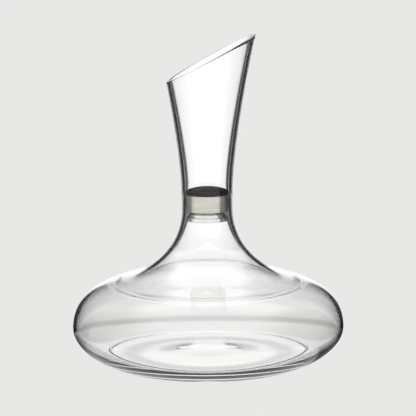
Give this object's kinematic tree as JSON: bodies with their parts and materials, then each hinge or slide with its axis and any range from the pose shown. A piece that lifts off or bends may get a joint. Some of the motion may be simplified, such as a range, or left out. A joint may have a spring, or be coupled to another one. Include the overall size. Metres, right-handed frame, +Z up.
{
  "type": "wine decanter",
  "caption": "Wide shallow glass decanter with a slim throat and a slant-cut funnel mouth; a lift-out steel aerating insert and a loose domed stopper sit in the throat.",
  "frame": {"origin": "centre of the base, on the surface that the decanter stands on", "axes": "+Z up along the axis of the bowl, +X towards the high tip of the slanted mouth"},
  "size_m": [0.215, 0.215, 0.26],
  "materials": {
    "clear_glass": "clear blown glass, fire-polished lip",
    "brushed_steel": "fine brushing round the band",
    "polished_steel": "polished stainless steel",
    "black_silicone": "satin black silicone",
    "black_plastic": "fine matte moulding"
  },
  "bodies": {
    "vessel": {"glass_vessel": "clear_glass"},
    "insert": {"insert_sleeve": "brushed_steel", "throat_seal": "black_silicone", "strainer_disc": "polished_steel", "flow_spreader": "polished_steel", "stem_bolt": "polished_steel", "stem_spacer": "polished_steel", "cap_nut": "polished_steel"},
    "stopper": {"stopper_cap": "black_silicone", "stopper_plug": "black_plastic", "stopper_weight": "brushed_steel", "plug_base": "black_plastic", "plug_ring": "black_silicone"}
  },
  "joints": [
    {"name": "insert_lift", "type": "slide", "parent": "vessel", "child": "insert", "axis": [0, 0, 1], "range_m": [0, 0.155]},
    {"name": "stopper_lift", "type": "slide", "parent": "insert", "child": "stopper", "axis": [0, 0, 1], "range_m": [0, 0.14]}
  ]
}
